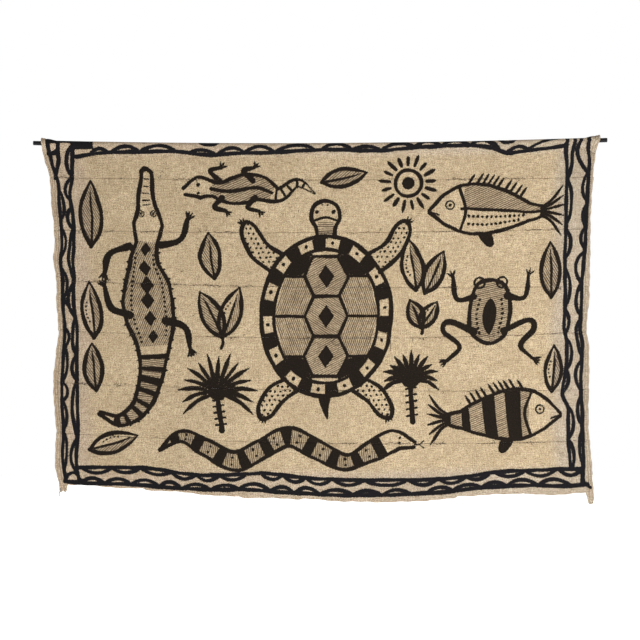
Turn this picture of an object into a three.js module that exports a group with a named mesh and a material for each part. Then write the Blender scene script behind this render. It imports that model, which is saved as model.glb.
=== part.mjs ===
// A painted cloth of seven narrow woven strips, sewn edge to edge, hanging on a thin rod.
// Millimetres, +Z up, the painted face towards -Y.
// The origin is on the rod's axis, at the middle of its length.
import * as THREE from "three";
import { mergeVertices } from "three/addons/utils/BufferGeometryUtils.js";

// Rod
const rodLength = 1320;
const rodRadius = 5;
const rodBow = 10; // the middle hangs this far below the two ends
const rodSides = 20;
const rodSteps = 12;

// Cloth
const clothThickness = 1.4;
const rodGap = 0.3; // between the rod and the cloth that goes over it
const seamGap = 0.3; // between two strips, where they are sewn
const flapGap = 0.5; // between the turned-down flap and the cloth in front of it
const flapLength = 22; // how far the top edge is turned down behind the rod
const gatherLength = 26; // below the rod, front and flap draw together over this length
const frontRest = -1.2; // depth of the cloth's middle once it hangs free of the rod
const hemWidth = 9.5; // side hem, folded to the back
const hemSlope = 3;
const hemThickness = 1.2; // what the fold adds behind
const earLift = 3.9; // the stiff hems stand this far off the rod at both top corners
const earWidth = 14;
const earFade = 24;

// Rows and columns of faces in one strip
const hemColumns = [0, 3, hemWidth, hemWidth + hemSlope, 18]; // distance from a side edge
const plainColumns = 38;
const stripRows = 5;
const arcSteps = 8; // over the rod, in half a turn
const flapSteps = 3;
const gatherSteps = 3;
const topStripRows = 2; // below the gathered part
const weld = 1e-4; // places closer than this are one vertex
const slopeStep = 0.5; // to each side of a place, for the slope of the cloth there

// Side edges: x of the cloth's left and right edge at a drop below the rod's middle
const sideEdges = [
  { drop: -10, left: -641, right: 643 },
  { drop: 10, left: -639, right: 636 },
  { drop: 33, left: -633, right: 632 },
  { drop: 56, left: -626, right: 629 },
  { drop: 77, left: -622, right: 628 },
  { drop: 125, left: -620, right: 624 },
  { drop: 171, left: -615, right: 622 },
  { drop: 225, left: -613, right: 621 },
  { drop: 260, left: -616, right: 620 },
  { drop: 306, left: -609, right: 619 },
  { drop: 355, left: -609, right: 618 },
  { drop: 424, left: -605, right: 611 },
  { drop: 460, left: -609, right: 616 },
  { drop: 536, left: -617, right: 617 },
  { drop: 605, left: -615, right: 615 },
  { drop: 651, left: -611, right: 615 },
  { drop: 723, left: -614, right: 621 },
  { drop: 765, left: -607, right: 622 },
  { drop: 790, left: -603, right: 622 },
  { drop: 830, left: -603, right: 619 },
];

// Seams between the strips: drop at the left edge, at the middle and at the right edge
const seams = [
  { left: 69, middle: 78, right: 75 },
  { left: 190, middle: 199, right: 193 },
  { left: 306, middle: 325, right: 325 },
  { left: 420, middle: 442, right: 431 },
  { left: 540, middle: 562, right: 563 },
  { left: 656, middle: 683, right: 681 },
];

// Lower selvedge
const lowerEdge = [
  { x: -640, drop: 775 },
  { x: -560, drop: 779 },
  { x: -430, drop: 789 },
  { x: -240, drop: 804 },
  { x: -40, drop: 814 },
  { x: 180, drop: 820 },
  { x: 270, drop: 815 },
  { x: 340, drop: 807 },
  { x: 470, drop: 803 },
  { x: 533, drop: 806 },
  { x: 640, drop: 799 },
];

// Ends of the side hems that hang out below the selvedge: reach at each hem column
const hemEnds = {
  left: [10, 14, 11, 10, 0],
  right: [18, 27, 20, 3, 0],
};

const never = 2000; // past the lower selvedge: the fold runs all the way down
// Soft folds: x at the top, sideways shift for each mm of drop, drop where the fold starts,
// length over which it deepens, drop where it has died away, half width,
// and depth, positive towards the wall
const folds = [
  { x: -640, lean: 0.62, start: 12, rise: 70, finish: 300, width: 20, depth: -2.4 },
  { x: -560, lean: 0.42, start: 20, rise: 90, finish: 340, width: 24, depth: 1.9 },
  { x: 636, lean: -0.58, start: 12, rise: 70, finish: 290, width: 20, depth: -2.2 },
  { x: 566, lean: -0.36, start: 20, rise: 90, finish: 360, width: 26, depth: 2.0 },
  { x: -535, lean: 0.03, start: 90, rise: 420, finish: never, width: 58, depth: -4.6 },
  { x: -398, lean: 0.04, start: 150, rise: 500, finish: never, width: 66, depth: 5.0 },
  { x: -226, lean: -0.03, start: 80, rise: 520, finish: never, width: 74, depth: -5.4 },
  { x: -62, lean: 0.02, start: 190, rise: 440, finish: never, width: 70, depth: 4.6 },
  { x: 104, lean: -0.03, start: 120, rise: 480, finish: never, width: 76, depth: -5.6 },
  { x: 268, lean: 0.03, start: 160, rise: 460, finish: never, width: 62, depth: 4.4 },
  { x: 412, lean: -0.02, start: 60, rise: 520, finish: never, width: 64, depth: -4.8 },
  { x: 556, lean: 0.01, start: 110, rise: 460, finish: never, width: 50, depth: 4.2 },
];

// Curls of the lower selvedge: x, half width and depth at the very edge
const curls = [
  { x: -606, width: 44, depth: -6.0 },
  { x: -430, width: 70, depth: 3.6 },
  { x: -250, width: 52, depth: -2.8 },
  { x: -30, width: 84, depth: 3.0 },
  { x: 205, width: 60, depth: -3.4 },
  { x: 395, width: 58, depth: 4.6 },
  { x: 618, width: 40, depth: -5.4 },
];
const curlHeight = 80;
const sideCurl = { least: 0.6, most: 3.2 }; // the side edges lean back by between these
const sideCurlWidth = 42;
const sideCurlStart = 150; // length below the rod over which the lean begins
const sideCurlWave = 176; // length of one wave of the side edges
const stripBulge = 0.9; // each strip swells forward between its seams

const lerp = (a, b, t) => a + (b - a) * t;
const ease = (t) => THREE.MathUtils.smoothstep(t, 0, 1);
const bell = (distance, width) => Math.exp(-((distance / width) ** 2));

// A smooth curve through the rows of a table
function along(rows, key, value, at) {
  if (at <= rows[0][key]) return rows[0][value];
  if (at >= rows.at(-1)[key]) return rows.at(-1)[value];
  const i = rows.findIndex((row) => row[key] > at) - 1;
  const slope = (k) => {
    const low = rows[Math.max(k - 1, 0)];
    const high = rows[Math.min(k + 1, rows.length - 1)];
    return (high[value] - low[value]) / (high[key] - low[key]);
  };
  const span = rows[i + 1][key] - rows[i][key];
  const t = (at - rows[i][key]) / span;
  const bend = t * (1 - t) * span * (slope(i) * (1 - t) - slope(i + 1) * t);
  return lerp(rows[i][value], rows[i + 1][value], ease(t)) + bend;
}

// Drop of a seam at u, which runs from 0 at the left edge to 1 at the right one
function seamDrop(seam, u) {
  const ends = lerp(seam.left, seam.right, u);
  const sag = seam.middle - (seam.left + seam.right) / 2;
  return ends + sag * 4 * u * (1 - u);
}

const top = sideEdges[0];
const topX = (u) => lerp(top.left, top.right, u);
const rodHeight = (x) => rodBow * (x / (rodLength / 2)) ** 2;
const clothWidth = top.right - top.left;
const sideDistance = (u) => Math.min(u, 1 - u) * clothWidth;

const sleeveRadius = rodRadius + rodGap + clothThickness / 2;
const overRod = Math.PI * sleeveRadius;
const flapEnd = -(overRod + flapLength);

const hemAt = (u) => hemThickness * (1 - ease((sideDistance(u) - hemWidth) / hemSlope));
const earAt = (u) => earLift * (1 - ease((sideDistance(u) - earWidth) / earFade));

// Depth of the free-hanging cloth
function foldDepth(x, u, drop, strip, fraction) {
  let depth = 0;
  for (const fold of folds) {
    const grown = ease((drop - fold.start) / fold.rise);
    const left = 1 - ease((drop - fold.finish / 2) / (fold.finish / 2));
    depth += fold.depth * grown * left * bell(x - fold.x - fold.lean * drop, fold.width);
  }
  const foot = along(lowerEdge, "x", "drop", x);
  const nearFoot = ease((drop - foot + curlHeight) / curlHeight);
  for (const curl of curls) depth += curl.depth * nearFoot * bell(x - curl.x, curl.width);
  const turn = (drop / sideCurlWave) * 2 * Math.PI + Math.sign(x);
  const lean = lerp(sideCurl.least, sideCurl.most, (1 + Math.sin(turn)) / 2);
  const begun = ease((drop - gatherLength) / sideCurlStart);
  depth += lean * begun * bell(sideDistance(u), sideCurlWidth);
  if (strip > 0) depth -= stripBulge * Math.sin(Math.PI * fraction);
  return depth;
}

// Place of the cloth's middle layer. v is the way down the cloth from the height of the
// rod's axis: above 0 the cloth hangs in front, below 0 it goes over the rod and down behind.
function clothPoint(u, v, strip, fraction) {
  const axis = rodHeight(topX(u));
  const radius = sleeveRadius + hemAt(u) + earAt(u);
  const front = (level) => lerp(-radius, frontRest, ease(level / gatherLength));
  if (v > 0) {
    const drop = v - axis;
    const x = lerp(
      along(sideEdges, "drop", "left", drop),
      along(sideEdges, "drop", "right", drop),
      u,
    );
    return new THREE.Vector3(x, front(v) + foldDepth(x, u, drop, strip, fraction), -drop);
  }
  if (v > -overRod) {
    const turn = -v / sleeveRadius;
    return new THREE.Vector3(
      topX(u),
      -radius * Math.cos(turn),
      axis + radius * Math.sin(turn),
    );
  }
  const level = -v - overRod;
  const behind = front(flapLength) + clothThickness + 2 * hemAt(u) + flapGap;
  const x = lerp(
    along(sideEdges, "drop", "left", level - axis),
    along(sideEdges, "drop", "right", level - axis),
    u,
  );
  return new THREE.Vector3(x, lerp(radius, behind, ease(level / flapLength)), axis - level);
}

// Ways down the cloth at which one strip has its rows
const fractions = (count) => Array.from({ length: count + 1 }, (_, k) => k / count);

function stripWays(strip, u, hemEnd) {
  const axis = rodHeight(topX(u));
  const isLast = strip === seams.length;
  const foot = isLast
    ? along(lowerEdge, "x", "drop", topX(u)) + hemEnd
    : seamDrop(seams[strip], u) - seamGap / 2;
  if (strip > 0) {
    const head = seamDrop(seams[strip - 1], u) + seamGap / 2;
    return fractions(stripRows).map((t) => lerp(head, foot, t) + axis);
  }
  const flap = fractions(flapSteps).map((t) => lerp(flapEnd, -overRod, t));
  const arc = fractions(arcSteps).map((t) => lerp(-overRod, 0, t));
  const gather = fractions(gatherSteps).map((t) => lerp(0, gatherLength, t));
  const front = fractions(topStripRows).map((t) => lerp(gatherLength, foot + axis, t));
  return [...flap, ...arc.slice(1), ...gather.slice(1), ...front.slice(1)];
}

// Columns from the left edge to the right one, with what hangs out below at each
function clothColumns() {
  const hem = hemColumns.map((distance) => distance / clothWidth);
  const inner = hem.at(-1);
  const plain = fractions(plainColumns).map((t) => lerp(inner, 1 - inner, t));
  const left = hem.map((u, k) => ({ u, hemEnd: hemEnds.left[k] }));
  const right = hem.map((u, k) => ({ u: 1 - u, hemEnd: hemEnds.right[k] })).reverse();
  const middle = plain.slice(1, -1).map((u) => ({ u, hemEnd: 0 }));
  return [...left, ...middle, ...right];
}

// One strip: a box of faces laid along the cloth's middle layer, half the thickness to each side
function stripGeometry(strip) {
  const columns = clothColumns();
  const ways = columns.map(({ u, hemEnd }) => stripWays(strip, u, hemEnd));
  const across = columns.length - 1;
  const down = ways[0].length - 1;
  const geometry = new THREE.BoxGeometry(across, 1, down, across, 1, down);
  geometry.deleteAttribute("uv");
  geometry.deleteAttribute("normal");
  const places = geometry.attributes.position;
  for (let k = 0; k < places.count; k++) {
    const column = Math.round(places.getX(k) + across / 2);
    const row = Math.round(down / 2 - places.getZ(k));
    const { u } = columns[column];
    const way = ways[column][row];
    const at = (du, dv) => clothPoint(u + du / clothWidth, way + dv, strip, row / down);
    const sideways = at(slopeStep, 0).sub(at(-slopeStep, 0));
    const downwards = at(0, slopeStep).sub(at(0, -slopeStep));
    const back = sideways.cross(downwards).normalize();
    const isBack = places.getY(k) > 0;
    const offset = isBack ? clothThickness / 2 + hemAt(u) : -clothThickness / 2;
    const place = at(0, 0).addScaledVector(back, offset);
    places.setXYZ(k, place.x, place.y, place.z);
  }
  const closed = mergeVertices(geometry, weld);
  closed.computeVertexNormals();
  return closed;
}

// Rod: a plain cylinder along X that sags between its ends
function rodGeometry() {
  const geometry = new THREE.CylinderGeometry(
    rodRadius, rodRadius, rodLength, rodSides, rodSteps,
  );
  geometry.deleteAttribute("uv");
  geometry.deleteAttribute("normal");
  geometry.rotateZ(Math.PI / 2);
  const places = geometry.attributes.position;
  for (let k = 0; k < places.count; k++) {
    places.setZ(k, places.getZ(k) + rodHeight(places.getX(k)));
  }
  const closed = mergeVertices(geometry, weld);
  closed.computeVertexNormals();
  return closed;
}

const cottonPaint = new THREE.MeshStandardMaterial({ color: 0xc2ae90, roughness: 0.95, metalness: 0 });
const blackPaint = new THREE.MeshStandardMaterial({ color: 0x0c0e16, roughness: 0.45, metalness: 0 });

const hanging = new THREE.Group();

const rod = new THREE.Mesh(rodGeometry(), blackPaint);
rod.name = "rod";
hanging.add(rod);

for (let strip = 0; strip <= seams.length; strip++) {
  const mesh = new THREE.Mesh(stripGeometry(strip), cottonPaint);
  mesh.name = `strip_${strip + 1}`;
  hanging.add(mesh);
}

export default hanging;
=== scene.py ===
import math

import bpy
import numpy as np
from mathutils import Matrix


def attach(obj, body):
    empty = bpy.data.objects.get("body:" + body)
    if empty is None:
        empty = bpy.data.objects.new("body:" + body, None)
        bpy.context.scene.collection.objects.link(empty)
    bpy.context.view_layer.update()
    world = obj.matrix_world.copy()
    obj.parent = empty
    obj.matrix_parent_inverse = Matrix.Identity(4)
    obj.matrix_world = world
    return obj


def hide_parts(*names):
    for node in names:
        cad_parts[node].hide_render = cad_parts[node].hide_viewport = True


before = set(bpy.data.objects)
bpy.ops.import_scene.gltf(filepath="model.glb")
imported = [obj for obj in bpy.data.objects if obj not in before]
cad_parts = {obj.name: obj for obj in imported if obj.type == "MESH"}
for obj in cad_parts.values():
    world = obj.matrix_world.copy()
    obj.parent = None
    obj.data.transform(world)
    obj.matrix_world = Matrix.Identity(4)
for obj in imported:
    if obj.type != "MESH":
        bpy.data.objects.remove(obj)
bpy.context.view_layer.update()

# The cloth is worked out in millimetres and scaled to metres when a mesh is written.
MM = 0.001

# Rod
ROD_LENGTH = 1320
ROD_RADIUS = 5
ROD_BOW = 10
ROD_SIDES = 48
ROD_CUTS = 40
ROD_END_ROUND = 0.8

# Cloth, as in the solids
THICKNESS = 1.4
ROD_GAP = 0.3
SEAM_GAP = 0.01  # the strips' edges are sewn against each other
FLAP_GAP = 0.5
FLAP_LENGTH = 22
GATHER_LENGTH = 26
FRONT_REST = -1.2
HEM_WIDTH = 9.5
HEM_SLOPE = 3
HEM_THICKNESS = 1.2
ROLL_WIDTH = 4.4  # the outermost part of each hem, rolled like a cord
EAR_LIFT = 3.9
EAR_WIDTH = 14
EAR_FADE = 24

# Side edges: drop below the rod's middle, x of the left edge, x of the right edge
SIDE_EDGES = np.array([
    (-10, -641, 643), (10, -639, 636), (33, -633, 632), (56, -626, 629), (77, -622, 628),
    (125, -620, 624), (171, -615, 622), (225, -613, 621), (260, -616, 620), (306, -609, 619),
    (355, -609, 618), (424, -605, 611), (460, -609, 616), (536, -617, 617), (605, -615, 615),
    (651, -611, 615), (723, -614, 621), (765, -607, 623), (790, -603, 624), (830, -602, 626),
], float)

# Seams between the strips: drop at the left edge, in the middle, at the right edge
SEAMS = [
    (69, 78, 75), (190, 199, 193), (306, 325, 325), (420, 442, 431), (540, 562, 563), (656, 683, 681),
]

# Lower selvedge: x, drop
LOWER_EDGE = np.array([
    (-640, 775), (-560, 779), (-430, 789), (-240, 804), (-40, 814), (180, 820), (270, 815),
    (340, 807), (470, 803), (533, 806), (640, 799),
], float)

# Soft folds: x at the top, lean, start, rise, finish, half width, depth towards the wall
NEVER = 2000
FOLDS = [
    (-640, 0.62, 12, 70, 300, 20, -2.4), (-560, 0.42, 20, 90, 340, 24, 1.9),
    (636, -0.58, 12, 70, 290, 20, -2.2), (566, -0.36, 20, 90, 360, 26, 2.0),
    (-535, 0.03, 90, 420, NEVER, 58, -4.6), (-398, 0.04, 150, 500, NEVER, 66, 5.0),
    (-226, -0.03, 80, 520, NEVER, 74, -5.4), (-62, 0.02, 190, 440, NEVER, 70, 4.6),
    (104, -0.03, 120, 480, NEVER, 76, -5.6), (268, 0.03, 160, 460, NEVER, 62, 4.4),
    (412, -0.02, 60, 520, NEVER, 64, -4.8), (556, 0.01, 110, 460, NEVER, 50, 4.2),
]

# Curls of the lower selvedge: x, half width, depth
CURLS = [
    (-606, 44, -6.0), (-430, 70, 3.6), (-250, 52, -2.8), (-30, 84, 3.0), (205, 60, -3.4),
    (395, 58, 4.6), (618, 40, -5.4),
]
CURL_HEIGHT = 80

# Ends of the side hems: distance from the side edge, how far the fold hangs below the selvedge
HEM_END_LEFT = np.array([
    (0, 13), (2, 18), (6, 17), (9, 14.5), (13, 18), (17, 15), (19.5, 7), (21.5, 0), (30, 0),
], float)
HEM_END_RIGHT = np.array([
    (0, 17), (2, 23), (5, 27), (9, 27.5), (12.5, 27), (15, 23.5), (17, 13), (18.5, 2), (19.5, 0), (30, 0),
], float)
SIDE_CURL = (0.6, 3.2)
SIDE_CURL_WIDTH = 42
SIDE_CURL_START = 150
SIDE_CURL_WAVE = 176
STRIP_BULGE = 0.9


# Shape of the hanging cloth
def ease(t):
    t = np.clip(t, 0, 1)
    return t * t * (3 - 2 * t)


def lerp(a, b, t):
    return a + (b - a) * t


def bell(distance, width):
    return np.exp(-((distance / width) ** 2))


def along(rows, column, at):
    """A smooth curve through one column of a table, over its first column."""
    keys, values = rows[:, 0], rows[:, column]
    slopes = np.empty(len(keys))
    slopes[1:-1] = (values[2:] - values[:-2]) / (keys[2:] - keys[:-2])
    slopes[0] = (values[1] - values[0]) / (keys[1] - keys[0])
    slopes[-1] = (values[-1] - values[-2]) / (keys[-1] - keys[-2])
    at = np.clip(at, keys[0], keys[-1])
    i = np.clip(np.searchsorted(keys, at, side="right") - 1, 0, len(keys) - 2)
    span = keys[i + 1] - keys[i]
    t = (at - keys[i]) / span
    bend = t * (1 - t) * span * (slopes[i] * (1 - t) - slopes[i + 1] * t)
    return lerp(values[i], values[i + 1], ease(t)) + bend


TOP_LEFT, TOP_RIGHT = SIDE_EDGES[0, 1:]
CLOTH_WIDTH = TOP_RIGHT - TOP_LEFT
SLEEVE_RADIUS = ROD_RADIUS + ROD_GAP + THICKNESS / 2
OVER_ROD = math.pi * SLEEVE_RADIUS
FLAP_END = -(OVER_ROD + FLAP_LENGTH)


def top_x(u):
    return lerp(TOP_LEFT, TOP_RIGHT, u)


def rod_height(x):
    return ROD_BOW * (x / (ROD_LENGTH / 2)) ** 2


def side_distance(u):
    return np.minimum(u, 1 - u) * CLOTH_WIDTH


def hem_at(u):
    return HEM_THICKNESS * (1 - ease((side_distance(u) - HEM_WIDTH) / HEM_SLOPE))


def ear_at(u):
    return EAR_LIFT * (1 - ease((side_distance(u) - EAR_WIDTH) / EAR_FADE))


def seam_drop(seam, u):
    left, middle, right = seam
    return lerp(left, right, u) + (middle - (left + right) / 2) * 4 * u * (1 - u)


def fold_depth(x, u, drop, strip, fraction):
    depth = np.zeros_like(x)
    for at, lean, start, rise, finish, width, deep in FOLDS:
        grown = ease((drop - start) / rise) * (1 - ease((drop - finish / 2) / (finish / 2)))
        depth += deep * grown * bell(x - at - lean * drop, width)
    foot = along(LOWER_EDGE, 1, x)
    near_foot = ease((drop - foot + CURL_HEIGHT) / CURL_HEIGHT)
    for at, width, deep in CURLS:
        depth += deep * near_foot * bell(x - at, width)
    turn = drop / SIDE_CURL_WAVE * 2 * math.pi + np.sign(x)
    lean = lerp(*SIDE_CURL, (1 + np.sin(turn)) / 2)
    begun = ease((drop - GATHER_LENGTH) / SIDE_CURL_START)
    depth += lean * begun * bell(side_distance(u), SIDE_CURL_WIDTH)
    if strip:
        depth -= STRIP_BULGE * np.sin(math.pi * fraction)
    return depth


def cloth_point(u, v, strip, fraction):
    """The cloth's middle layer, v millimetres down from the height of the rod's axis."""
    axis = rod_height(top_x(u))
    radius = SLEEVE_RADIUS + hem_at(u) + ear_at(u)

    def front(level):
        return lerp(-radius, FRONT_REST, ease(level / GATHER_LENGTH))

    drop = v - axis
    x = lerp(along(SIDE_EDGES, 1, drop), along(SIDE_EDGES, 2, drop), u)
    hanging = np.stack([x, front(v) + fold_depth(x, u, drop, strip, fraction), -drop], -1)
    turn = np.clip(-v / SLEEVE_RADIUS, 0, math.pi)
    over = np.stack([top_x(u), -radius * np.cos(turn), axis + radius * np.sin(turn)], -1)
    level = -v - OVER_ROD
    behind = front(FLAP_LENGTH) + THICKNESS + 2 * hem_at(u) + FLAP_GAP
    x = lerp(along(SIDE_EDGES, 1, level - axis), along(SIDE_EDGES, 2, level - axis), u)
    flap = np.stack([x, lerp(radius, behind, ease(level / FLAP_LENGTH)), axis - level], -1)
    v = v[..., None]
    return np.where(v > 0, hanging, np.where(v > -OVER_ROD, over, flap))


def front_layer(u, v, strip, fraction):
    """The painted face of the cloth, and the way from it to the back."""
    step = 0.5

    def at(du, dv):
        return cloth_point(u + du / CLOTH_WIDTH, v + dv, strip, fraction)

    back = np.cross(at(step, 0) - at(-step, 0), at(0, step) - at(0, -step))
    back /= np.linalg.norm(back, axis=-1, keepdims=True)
    return at(0, 0) - back * (THICKNESS / 2), back


# The painter's measures: a runs across the cloth from its middle, b down from the rod
PAINT_WIDTH = 1240
EDGE = PAINT_WIDTH / 2
GRID = 2.5
FAR = 15.0
BORDER_LINE, BORDER_WAVE, FIELD_LINE, FIELD_DETAIL = range(4)
BOLD, FINE = 10.0, 7.4
HATCH_PITCH = 4.4
STROKE_STEP = 6.0
WOBBLE = 0.42


def u_of(a):
    return np.asarray(a) / PAINT_WIDTH + 0.5


def foot_way(a):
    """Way down to the lower selvedge at a."""
    x = top_x(u_of(a))
    return along(LOWER_EDGE, 1, x) + rod_height(x)


marks = []
hatches = []


def smooth(points, closed=False, step=STROKE_STEP):
    """Points along a smooth curve through the given ones, about step apart."""
    p = np.array(points, float)
    ends = (p[-1:], p[:2]) if closed else (2 * p[:1] - p[1:2], 2 * p[-1:] - p[-2:-1])
    p = np.concatenate([ends[0], p, ends[1]])
    found = []
    for i in range(1, len(p) - 2):
        count = max(2, int(np.ceil(np.linalg.norm(p[i + 1] - p[i]) / step)))
        t = (np.arange(count) / count)[:, None]
        found.append(0.5 * (
            2 * p[i] + (p[i + 1] - p[i - 1]) * t
            + (2 * p[i - 1] - 5 * p[i] + 4 * p[i + 1] - p[i + 2]) * t ** 2
            + (3 * (p[i] - p[i + 1]) + p[i + 2] - p[i - 1]) * t ** 3
        ))
    found.append(p[1:2] if closed else p[-2:-1])
    return np.concatenate(found)


def straight(points):
    """Points along straight lines between the given ones."""
    p = np.array(points, float)
    found = []
    for start, end in zip(p[:-1], p[1:]):
        count = max(1, int(np.ceil(np.linalg.norm(end - start) / STROKE_STEP)))
        found.append(lerp(start, end, (np.arange(count) / count)[:, None]))
    return np.concatenate(found + [p[-1:]])


def length_along(line):
    steps = np.linalg.norm(np.diff(line, axis=0), axis=1)
    return np.concatenate([[0], np.cumsum(steps)])


def aside_of(line):
    """Steps of one millimetre to the side of every place on a line."""
    way = np.gradient(line, axis=0)
    way /= np.maximum(np.linalg.norm(way, axis=1, keepdims=True), 1e-6)
    return np.stack([-way[:, 1], way[:, 0]], 1)


def brush(layer, line, width, taper=(1.0, 1.0)):
    """One stroke of the brush along a line, with a hand's small wobble."""
    rng = np.random.default_rng(len(marks))
    phase = rng.uniform(0, 2 * math.pi, 5)
    line = np.asarray(line, float)
    run = length_along(line)
    sway = np.sin(run / 21 + phase[0]) + 0.6 * np.sin(run / 8.5 + phase[1])
    line = line + aside_of(line) * (WOBBLE * sway)[:, None]
    share = run / max(run[-1], 1e-6)
    swell = 1 + 0.09 * np.sin(run / 26 + phase[2]) + 0.07 * np.sin(run / 9 + phase[3])
    start, end = taper
    thin = lerp(start, 1, ease(share / 0.3)) * lerp(end, 1, ease((1 - share) / 0.3))
    marks.append((layer, line, width / 2 * swell * thin))


def bold(points, width=BOLD, taper=(1.0, 1.0)):
    brush(FIELD_LINE, smooth(points), width, taper)


def fine(points, width=FINE, taper=(1.0, 1.0)):
    brush(FIELD_DETAIL, smooth(points), width, taper)


def loop(points, width=BOLD, layer=FIELD_LINE):
    brush(layer, smooth(points, closed=True), width)


def blot(outline, layer=FIELD_DETAIL):
    """A filled shape."""
    marks.append((layer, np.asarray(outline, float), None))


def dot(a, b, radius=2.9):
    rng = np.random.default_rng(len(marks))
    turn = rng.uniform(0, math.pi)
    reach = np.array([math.cos(turn), math.sin(turn)]) * radius * 0.25
    half = radius * rng.uniform(0.85, 1.15)
    line = np.array([(a, b) - reach, (a, b) + reach])
    marks.append((FIELD_DETAIL, line, np.full(2, half)))


def dots_along(line, pitch=10.0, radius=2.9):
    run = length_along(line)
    for at in np.arange(pitch / 2, run[-1], pitch):
        dot(np.interp(at, run, line[:, 0]), np.interp(at, run, line[:, 1]), radius)


def within(outline, a, b):
    """Whether places lie inside a closed outline."""
    outline = np.asarray(outline, float)
    inside = np.zeros(np.shape(a), bool)
    for (x0, y0), (x1, y1) in zip(outline, np.roll(outline, -1, 0)):
        if y0 != y1:
            inside ^= ((y0 > b) != (y1 > b)) & (a < (x1 - x0) * (b - y0) / (y1 - y0) + x0)
    return inside


def spots(outline, pitch=11.0, radius=2.8):
    """Rows of dots, staggered, inside a closed outline."""
    outline = np.asarray(outline, float)
    rng = np.random.default_rng(len(marks))
    (left, top), (right, low) = outline.min(0), outline.max(0)
    for k, b in enumerate(np.arange(top + pitch * 0.5, low, pitch * 0.9)):
        for a in np.arange(left + pitch * (0.3 + 0.5 * (k % 2)), right, pitch):
            a1, b1 = a + rng.uniform(-1.5, 1.5), b + rng.uniform(-1.5, 1.5)
            if within(outline, a1, b1):
                dot(a1, b1, radius)


def hatch(outline, angle, pitch=HATCH_PITCH):
    """Fine parallel lines inside a closed outline."""
    hatches.append((np.asarray(outline, float), math.radians(angle), pitch))


def ring(a, b, wide, high, start=0.0, end=360.0, count=24):
    """Points round an oval, clockwise from its top."""
    turn = np.radians(np.linspace(start, end, count + 1))
    return np.stack([a + wide * np.sin(turn), b - high * np.cos(turn)], 1)


def beside(line, widths):
    """The two sides of a line that is as wide as given along it."""
    line = np.asarray(line, float)
    widths = np.interp(np.linspace(0, 1, len(line)), np.linspace(0, 1, len(widths)), widths)
    aside = aside_of(line) * widths[:, None]
    return line - aside, line + aside


def part_of(line, start, end):
    """The stretch of a line between two shares of its points."""
    return line[int(len(line) * start):int(len(line) * end) + 1]


def between(left, right, start=0.0, end=1.0):
    """The closed outline of a stretch between two lines."""
    return np.concatenate([part_of(left, start, end), part_of(right, start, end)[::-1]])


def about(a, b, points, side=1, high=1):
    """Points given from a middle at a, b; a side or high of -1 turns them over."""
    return np.array(points, float) * (side, high) + (a, b)


def diamond(a, b, wide, high):
    blot([(a, b - high), (a + wide, b), (a, b + high), (a - wide, b)])


def eye(a, b, size, width, pupil, layer=FIELD_DETAIL):
    loop(ring(a, b, size, size, count=8)[:-1], width, layer)
    dot(a, b, pupil)


# Border
def pair(line, towards, lenses, rail=9.4, wave=9.0):
    """A bold line, with a second that leaves it, comes back and so makes one slim gap after another."""
    line = np.asarray(line, float)
    run = length_along(line)
    brush(BORDER_LINE, line, rail)
    away = np.full(len(line), 1.0)
    for start, end, wide in lenses:
        t = np.clip((run - start) / (end - start), 0, 1)
        away += (wide + 1.4) * np.sin(math.pi * t) ** 0.6
    brush(BORDER_WAVE, line + aside_of(line) * (towards * away)[:, None], wave)


def through(rows):
    """A smooth function through a table of pairs."""
    table = np.array(rows, float)
    return lambda at: along(table, 1, np.asarray(at, float))


def painted(x, drop):
    """The painter's measures of a place that is given in the solids' measures."""
    left, right = along(SIDE_EDGES, 1, drop), along(SIDE_EDGES, 2, drop)
    u = (x - left) / (right - left)
    return np.stack([(u - 0.5) * PAINT_WIDTH, drop + rod_height(top_x(u))], -1)


def level_line(line_of, left, right, width):
    x = np.arange(left, right, STROKE_STEP)
    brush(BORDER_LINE, painted(x, line_of(x)), width)


def arches(line_of, side, rows, width=9.4):
    """Arches that stand on a level line or hang from it, each round a slim gap."""
    for start, end, high in rows:
        t = np.linspace(0, 1, 15)
        x = lerp(start, end, t)
        brush(BORDER_WAVE, painted(x, line_of(x) + side * high * np.sin(math.pi * t) ** 0.75), width)


inner_foot = through([
    (-552, 736), (-414, 738), (-368, 744), (-322, 751), (-250, 756), (-138, 752), (-92, 757),
    (0, 766), (140, 769), (276, 768), (322, 763), (414, 751), (600, 746),
])
outer_foot = through([
    (-590, 768), (-552, 772), (-460, 775), (-368, 783), (-276, 788), (-184, 789), (-92, 796),
    (0, 802), (140, 803), (276, 798), (368, 788), (460, 783), (552, 785), (610, 782),
])
inner_head = through([
    (-562, 22), (-506, 14), (-368, 11), (-322, 12.5), (-252, 19.5), (-184, 16), (-92, 14), (0, 9),
    (138, 11.5), (230, 4.5), (300, 1.5), (368, 2.5), (400, 8), (432, 19), (460, 16), (506, 10), (566, 2),
])


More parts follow.
